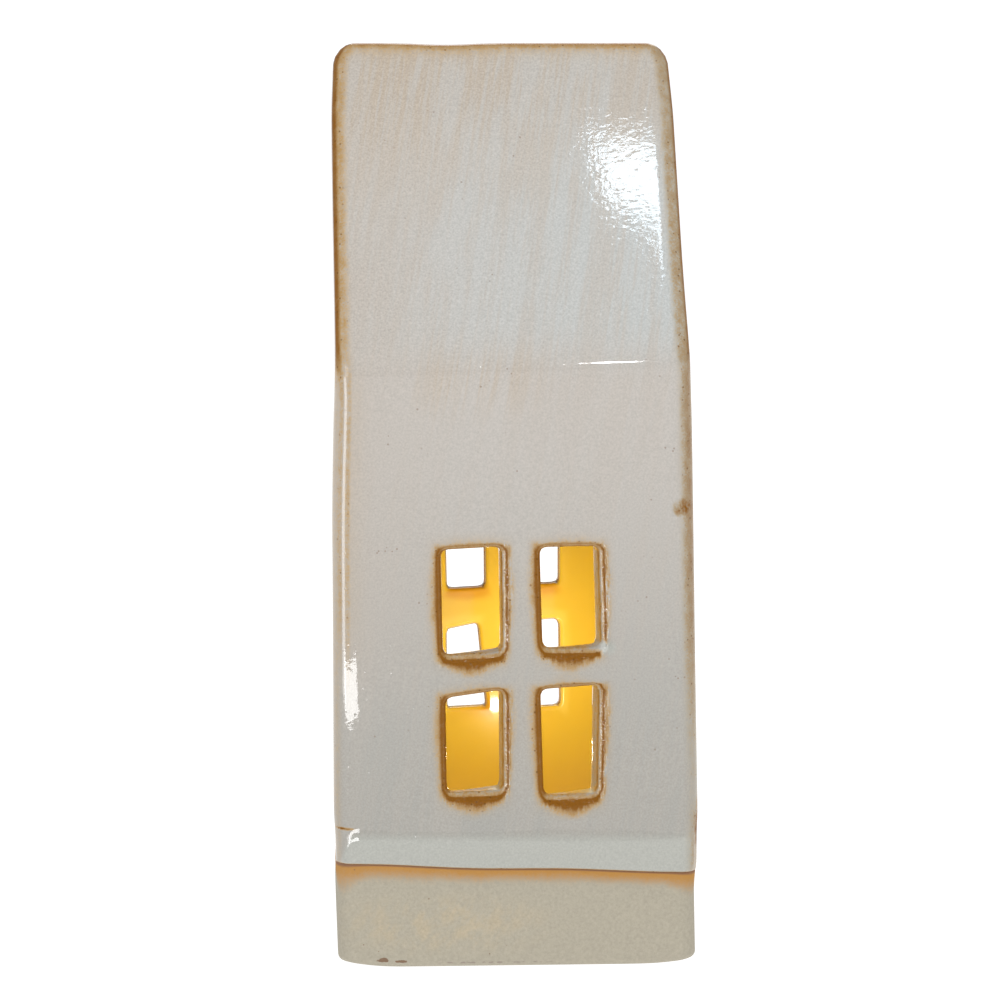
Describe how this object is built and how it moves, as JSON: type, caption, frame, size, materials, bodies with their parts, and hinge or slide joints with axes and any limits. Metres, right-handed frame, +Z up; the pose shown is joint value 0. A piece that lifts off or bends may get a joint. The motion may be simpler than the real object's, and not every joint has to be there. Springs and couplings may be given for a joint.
{
  "type": "tealight house",
  "caption": "Glazed slab-built ceramic house with a steep gable roof and cut windows, open at the foot, that lifts off over a wax tealight.",
  "frame": {"origin": "middle of the foot on the table", "axes": "+Z up, +X to the viewer's right, the wall with the large windows faces -Y, the ridge runs along X"},
  "size_m": [0.0696, 0.0696, 0.1802],
  "materials": {
    "clay": "bare, fired, matt",
    "glaze": "glossy, breaking brown on edges",
    "aluminium": "pressed foil",
    "tin": "tinned sheet",
    "wax": "paraffin wax",
    "cotton": "braided cotton"
  },
  "bodies": {
    "tealight": {"tealight_cup": "aluminium", "tealight_wax": "wax", "tealight_wick": "cotton", "wick_sustainer": "tin"},
    "house": {"clay_front_wall": "clay", "clay_back_wall": "clay", "clay_left_gable": "clay", "clay_right_gable": "clay", "clay_front_roof": "clay", "clay_back_roof": "clay", "glaze_coat": "glaze"}
  },
  "joints": [
    {"name": "house_lift", "type": "slide", "parent": "tealight", "child": "house", "axis": [0, 0, 1], "range_m": [0, 0.1]}
  ]
}
